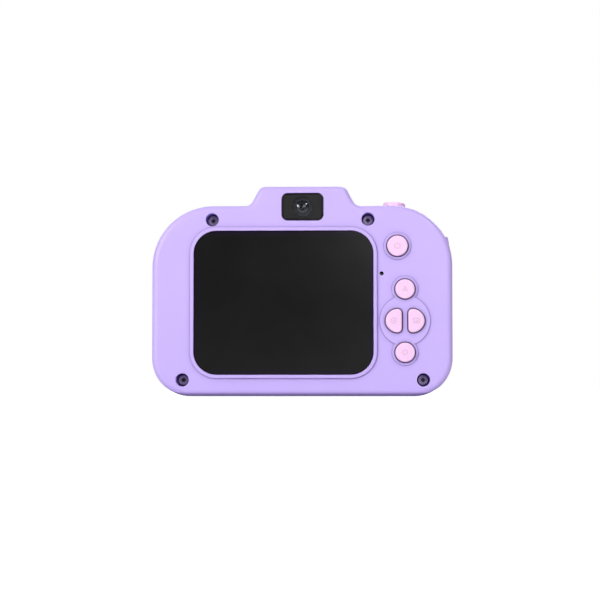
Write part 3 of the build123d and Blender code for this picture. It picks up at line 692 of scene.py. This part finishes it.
def usb_contacts():
    """Gold strips on both faces of the tongue in the USB socket."""
    count, pitch, half = 12, 0.5 * MM, 0.13 * MM
    setback, length, thick = 0.8 * MM, 3.4 * MM, 0.04 * MM
    tongue_half = 0.33 * MM
    low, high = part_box("usb_port")
    middle = (low + high) / 2
    start = low.x + setback
    strips = []
    for i in range(count):
        z = middle.z + (i - (count - 1) / 2) * pitch
        strips.append(bar(start, z - half, start + length, z + half))
    places = {"rear": middle.y - tongue_half - thick, "front": middle.y + tongue_half}
    for side, place in places.items():
        relief = outlines(strips, place, thick)
        piece(f"usb_contacts_{side}", relief, "gold", "case", smooth=False)


def lens_hood():
    """Ribbed hood behind the front cover, narrowing from its mouth to the lens."""
    ribs, ribbed_share, first_rib, rib_width, rib_taper = 14, 0.82, 0.1, 0.38, 0.06
    mouth_r, waist_r, throat_r, bore_r = 15.4, 7.6, 7.2, 6.95
    flange_r, rear_r = 15.9, 10.6
    throat_y, flange_y = 14.2, 17.0
    low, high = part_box("lens_baffle")
    front, rear = high.y / MM, low.y / MM
    profile = [(front, flange_r), (front, mouth_r)]
    for i in range(ribs):
        rib_y = front - first_rib - (front - rear) * ribbed_share * i / ribs
        rib_r = mouth_r - (mouth_r - waist_r) * i / ribs
        profile += [(rib_y, rib_r), (rib_y - rib_width, rib_r - rib_taper)]
    profile += [(throat_y, throat_r), (throat_y, bore_r)]
    profile += [(rear, bore_r), (rear, rear_r), (flange_y, flange_r)]
    builder = lathe([(y * MM, r * MM) for y, r in profile], LENS)
    hood = piece("lens_hood", builder, "black_satin", "case", smooth=False)
    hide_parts("lens_baffle")


def lens_barrel():
    """Stepped barrel round the front lens, as (depth, radius) in mm from its front."""
    outer_r, throat_r = 6.88, 3.0
    low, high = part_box("main_lens_barrel")
    length = (high.y - low.y) / MM
    profile = [
        (0.0, outer_r),
        (0.0, 6.5),
        (0.25, 6.35),
        (0.25, 5.9),
        (0.05, 5.8),
        (0.9, 5.1),
        (0.9, 4.75),
        (3.4, 4.72),
        (3.4, throat_r),
        (length, throat_r),
        (length, outer_r),
    ]
    builder = lathe([(high.y - y * MM, r * MM) for y, r in profile], LENS)
    rings = piece("lens_barrel_rings", builder, "black_satin", "case", smooth=False)
    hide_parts("main_lens_barrel")


key_marks()
small_lens()
screen_edge()
usb_contacts()
lens_hood()
lens_barrel()


# ================================ floor, lights and camera ====================================
FLOOR_R = 6.0
FLOOR_DROP = 0.2 * MM
FLOOR_GLOW = (0.72, 1.0)  # from under the object to the far floor, seen by the camera only
GLOW_REACH = (0.06, 0.3)
AMBIENT = (0.05, 0.32)  # light from near the horizon and from overhead
AMBIENT_RISE = (0.05, 0.6)
MIDDLE = (cad_box[0] + cad_box[1]) / 2
FACE_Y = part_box("rear_shell")[0].y
DISTANCE = 0.6
EYE = Vector((0.0177, FACE_Y - DISTANCE, 0.003))
AIM = Vector((-0.0006, FACE_Y, 0.03185))
FIELD = 0.1991  # width of the view at the aim
SENSOR = 36.0
# name, place, width and height, power
LIGHTS = (
    ("key", (-0.85, -0.9, 0.42), (0.36, 0.36), 7.6),
    ("front", (0.40, -1.6, 0.46), (0.66, 0.6), 4.4),
    ("face", (-0.8, -1.3, 0.35), (0.4, 0.4), 2.6),
    ("spark", (0.45, -0.72, 0.58), (0.14, 0.14), 1.7),
    ("lens_side", (0.35, 0.95, 0.6), (0.7, 0.7), 7.0),
    ("top", (-0.1, 0.1, 1.1), (0.6, 0.6), 0.6),
)


def floor():
    """Pale round floor.  The camera sees it brighter than the light it gives back, so it has no
    visible edge or horizon."""
    mesh = bpy.data.meshes.new("floor")
    bm = bmesh.new()
    bmesh.ops.create_circle(bm, cap_ends=True, segments=96, radius=FLOOR_R)
    bm.to_mesh(mesh)
    bm.free()
    obj = bpy.data.objects.new("floor", mesh)
    bpy.context.scene.collection.objects.link(obj)
    obj.location.z = -FLOOR_DROP
    n = Nodes("pale_floor")
    seen = n.add("ShaderNodeLightPath").outputs["Is Camera Ray"]
    grain = n.span(n.noise(60), 0.0, 1.0)
    n.link(n.mix(grain, (0.64, 0.64, 0.645), (0.68, 0.68, 0.68)), n.shader.inputs["Base Color"])
    reach = n.add("ShaderNodeVectorMath", operation="LENGTH")
    n.link(n.place, reach.inputs[0])
    glow = n.span(reach.outputs["Value"], *FLOOR_GLOW, GLOW_REACH, smooth=True)
    n.link(n.math("MULTIPLY", seen, glow), n.shader.inputs["Emission Strength"])
    n.set(Roughness=1.0, Specular_IOR_Level=0.0, Emission_Color=(1.0, 1.0, 1.0))
    obj.data.materials.append(n.material)


def turn_to(obj, place, aim):
    """Puts a light or camera at place, looking at aim."""
    obj.location = place
    obj.rotation_mode = "QUATERNION"
    obj.rotation_quaternion = (Vector(aim) - Vector(place)).to_track_quat("-Z", "Y")
    bpy.context.scene.collection.objects.link(obj)


def softbox(name, place, size, power):
    light = bpy.data.lights.new(name, "AREA")
    light.shape = "RECTANGLE"
    light.size, light.size_y = size
    light.energy = power
    turn_to(bpy.data.objects.new(name, light), place, MIDDLE)


def world():
    """White to the camera.  To everything else, a soft light that grows with height."""
    made = bpy.data.worlds.new("studio")
    bpy.context.scene.world = made
    made.use_nodes = True
    tree = made.node_tree
    shown = tree.nodes["Background"]
    ambient = tree.nodes.new("ShaderNodeBackground")
    for background in (shown, ambient):
        background.inputs["Color"].default_value = (1, 1, 1, 1)
    shown.inputs["Strength"].default_value = 1.0
    sky = tree.nodes.new("ShaderNodeTexCoord")
    split = tree.nodes.new("ShaderNodeSeparateXYZ")
    rise = tree.nodes.new("ShaderNodeMapRange")
    tree.links.new(sky.outputs["Generated"], split.inputs[0])
    tree.links.new(split.outputs["Z"], rise.inputs["Value"])
    limits = ("From Min", "From Max", "To Min", "To Max")
    for socket, value in zip(limits, AMBIENT_RISE + AMBIENT):
        rise.inputs[socket].default_value = value
    tree.links.new(rise.outputs["Result"], ambient.inputs["Strength"])
    path = tree.nodes.new("ShaderNodeLightPath")
    mixer = tree.nodes.new("ShaderNodeMixShader")
    tree.links.new(path.outputs["Is Camera Ray"], mixer.inputs[0])
    tree.links.new(ambient.outputs[0], mixer.inputs[1])
    tree.links.new(shown.outputs[0], mixer.inputs[2])
    tree.links.new(mixer.outputs[0], tree.nodes["World Output"].inputs["Surface"])


def camera():
    data = bpy.data.cameras.new("camera")
    data.sensor_width = SENSOR
    data.lens = SENSOR * (AIM - EYE).length / FIELD
    data.clip_start = 0.01
    obj = bpy.data.objects.new("camera", data)
    turn_to(obj, EYE, AIM)
    bpy.context.scene.camera = obj


floor()
world()
for light in LIGHTS:
    softbox(*light)
camera()
bpy.context.scene.view_settings.view_transform = "Standard"
